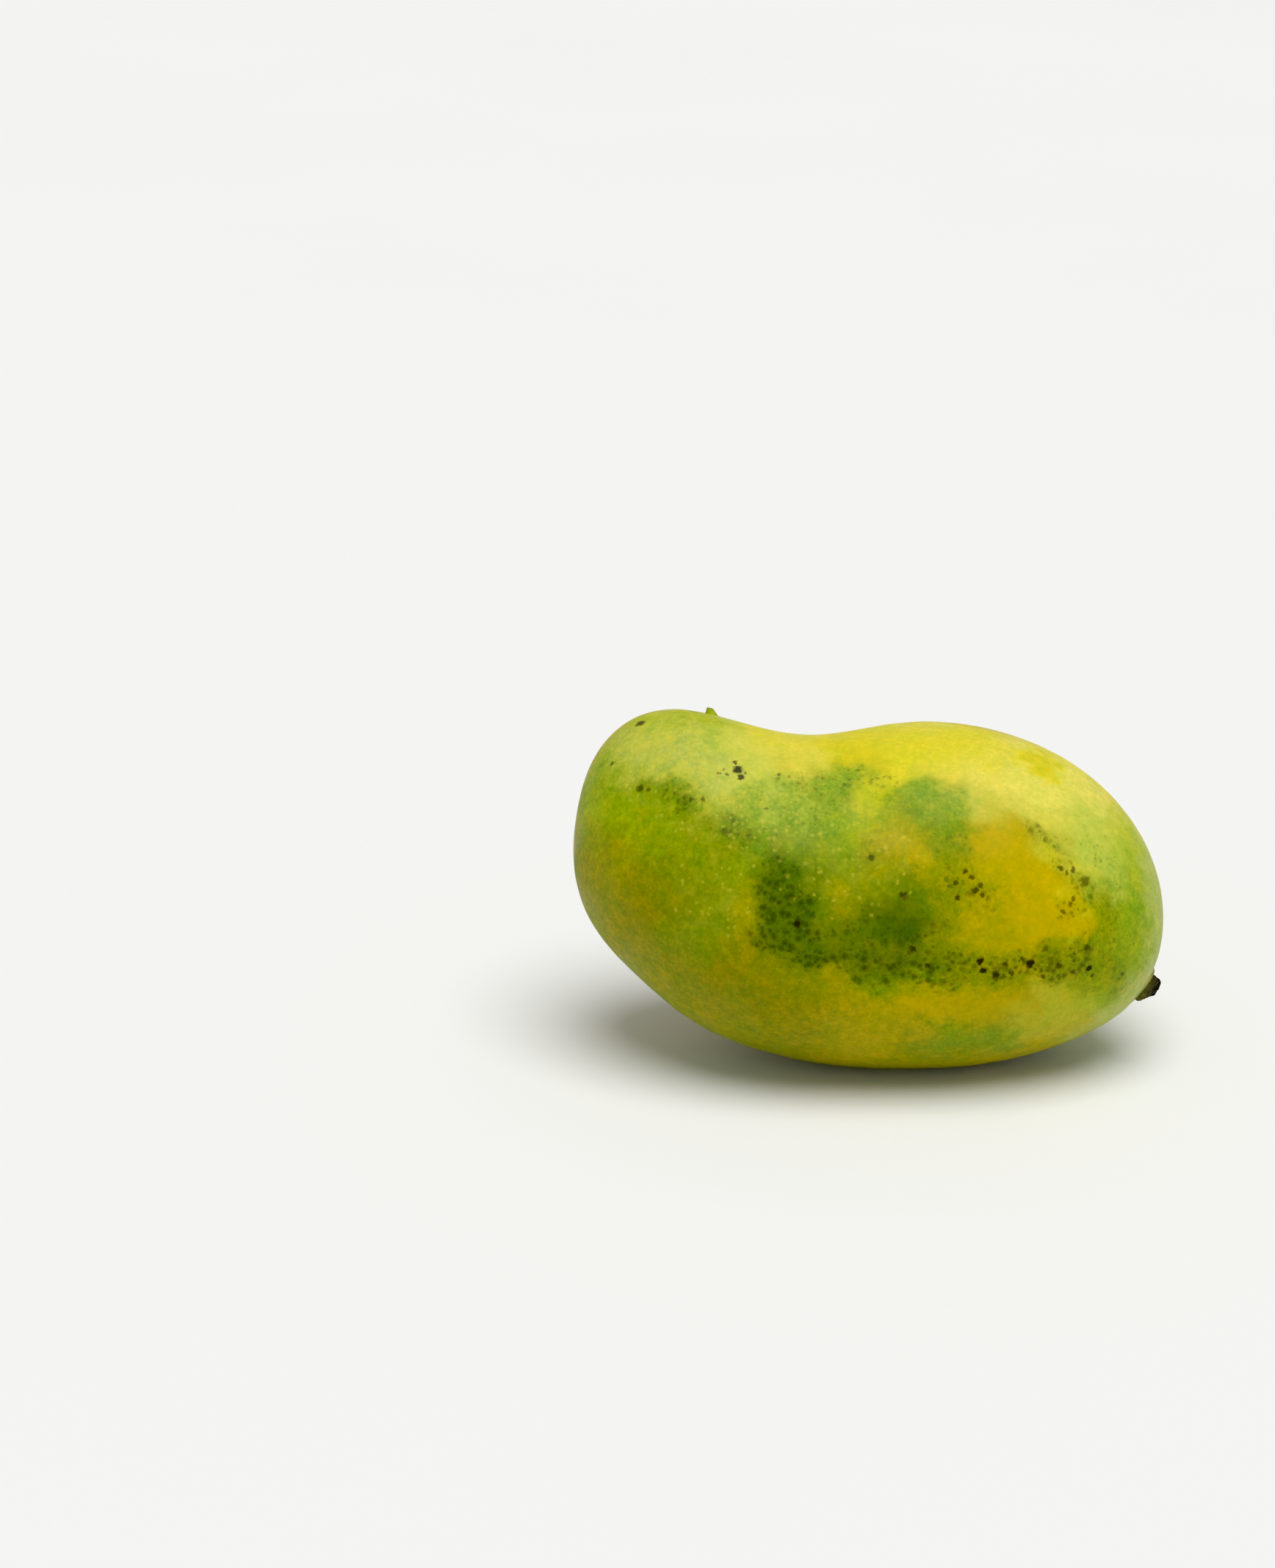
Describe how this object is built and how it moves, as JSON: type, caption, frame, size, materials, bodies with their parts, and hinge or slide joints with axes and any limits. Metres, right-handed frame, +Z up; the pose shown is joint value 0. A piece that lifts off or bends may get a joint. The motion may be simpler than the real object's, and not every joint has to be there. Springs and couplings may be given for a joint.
{
  "type": "mango",
  "caption": "Whole picked mango of a long, kidney-like kind with mottled green and yellow skin, a small beak and a dry stalk stub, lying on its back edge on a small flat spot.",
  "frame": {"origin": "on the surface that the fruit lies on, at the middle of its footprint's box", "axes": "+Z up, +X along the fruit from the rounded tip to the stalk end, -Y out of the broad cheek that shows"},
  "size_m": [0.1272, 0.068, 0.0752],
  "materials": {
    "mango_skin": "waxy, half ripe: green and yellow patches that run into each other, dark specks, pale pores",
    "dry_stalk": "dry, rough, dark brown to black at the broken end"
  },
  "bodies": {
    "root": {"mango_fruit": "mango_skin", "stem_stub": "dry_stalk"}
  },
  "joints": []
}
